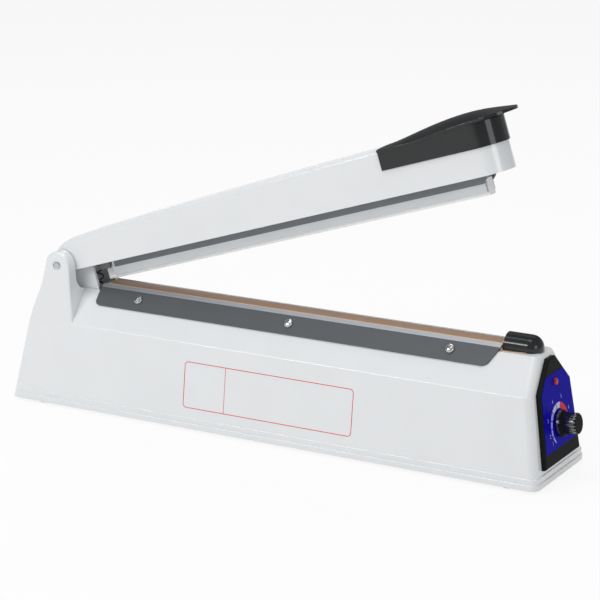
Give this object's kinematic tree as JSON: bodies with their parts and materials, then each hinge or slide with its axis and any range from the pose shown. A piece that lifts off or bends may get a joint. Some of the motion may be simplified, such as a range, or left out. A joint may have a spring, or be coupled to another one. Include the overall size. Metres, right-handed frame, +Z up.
{
  "type": "manual heat sealer",
  "caption": "Hand impulse sealer for plastic bags: moulded base with a heated sealing edge, hinged press arm with a black grip, and a timer panel with a knob.",
  "frame": {"origin": "centre of the bounding box, on the surface that the rubber feet stand on", "axes": "+X along the base towards the timer panel, +Z up, arm open at rest"},
  "size_m": [0.4428, 0.084, 0.2529],
  "materials": {
    "housing_plastic": "gloss",
    "steel_zinc": "brushed",
    "steel_plate": "satin",
    "rubber_black": "matte",
    "spring_steel": "brushed",
    "clamp_dark": "satin",
    "channel_dark": "satin",
    "aluminium": "satin",
    "silicone": "matte",
    "ptfe": "satin",
    "bakelite": "matte",
    "element": "brushed",
    "black_plastic": "gloss",
    "switch_plastic": "matte",
    "button_plastic": "gloss",
    "fascia_blue": "satin",
    "lamp_red": "gloss",
    "brass": "satin",
    "board_green": "satin",
    "relay_blue": "gloss",
    "capacitor_sleeve": "gloss",
    "core_steel": "matte",
    "coil_copper": "satin"
  },
  "bodies": {
    "base": {"housing": "housing_plastic", "base_plate": "steel_plate", "rubber_feet": "rubber_black", "foot_screws": "steel_zinc", "hinge_pin": "steel_zinc", "return_spring": "spring_steel", "spring_bracket": "steel_zinc", "bracket_screws": "steel_zinc", "microswitch": "switch_plastic", "switch_pins": "steel_zinc", "element_bar": "bakelite", "insulation_strip": "ptfe", "heating_element": "element", "ptfe_cloth": "ptfe", "front_clamp_plate": "clamp_dark", "rear_clamp_plate": "clamp_dark", "clamp_screws": "steel_zinc", "tip_terminal": "brass", "hinge_terminal": "brass", "terminal_screws": "steel_zinc", "terminal_cap": "black_plastic", "panel_bezel": "black_plastic", "panel_fascia": "fascia_blue", "indicator_lamp": "lamp_red", "potentiometer": "switch_plastic", "pot_nut": "steel_zinc", "timer_board": "board_green", "relay": "relay_blue", "capacitor": "capacitor_sleeve", "transformer_core": "core_steel", "transformer_coil": "coil_copper", "transformer_strap": "steel_zinc", "transformer_screws": "steel_zinc", "cord_grommet": "rubber_black"},
    "arm": {"arm_shell": "housing_plastic", "grip": "black_plastic", "grip_screws": "steel_zinc", "inner_bar_spring": "spring_steel", "outer_bar_spring": "spring_steel"},
    "press_bar": {"press_bar_channel": "channel_dark", "rubber_holder": "aluminium", "silicone_strip": "silicone", "guide_screws": "steel_zinc"},
    "knob": {"timer_knob": "black_plastic", "timer_shaft": "steel_zinc"},
    "button": {"switch_button": "button_plastic"}
  },
  "joints": [
    {"name": "arm_hinge", "type": "hinge", "parent": "base", "child": "arm", "pos_m": [-0.18543, 0, 0.1062], "axis": [0, 1, 0], "range_deg": [0, 17.7], "stiffness_Nm_per_rad": 1.5, "springref_deg": -34.38, "deforming": ["return_spring"]},
    {"name": "press_bar_slide", "type": "slide", "parent": "arm", "child": "press_bar", "axis": [-0.304, 0, 0.9527], "range_m": [0, 0.00671], "deforming": ["inner_bar_spring", "outer_bar_spring"]},
    {"name": "knob_turn", "type": "hinge", "parent": "base", "child": "knob", "pos_m": [0.20287, 0, 0.0381], "axis": [0.989, 0, 0.1478], "range_deg": [-197, 73]},
    {"name": "switch_press", "type": "slide", "parent": "base", "child": "button", "axis": [0, 0, -1], "range_m": [0, 0.0012], "stiffness_N_per_m": 400, "springref_m": -0.001}
  ],
  "couplings": [
    {"joint": "press_bar_slide", "follows": "arm_hinge", "m_per_rad": 0.021688}
  ]
}
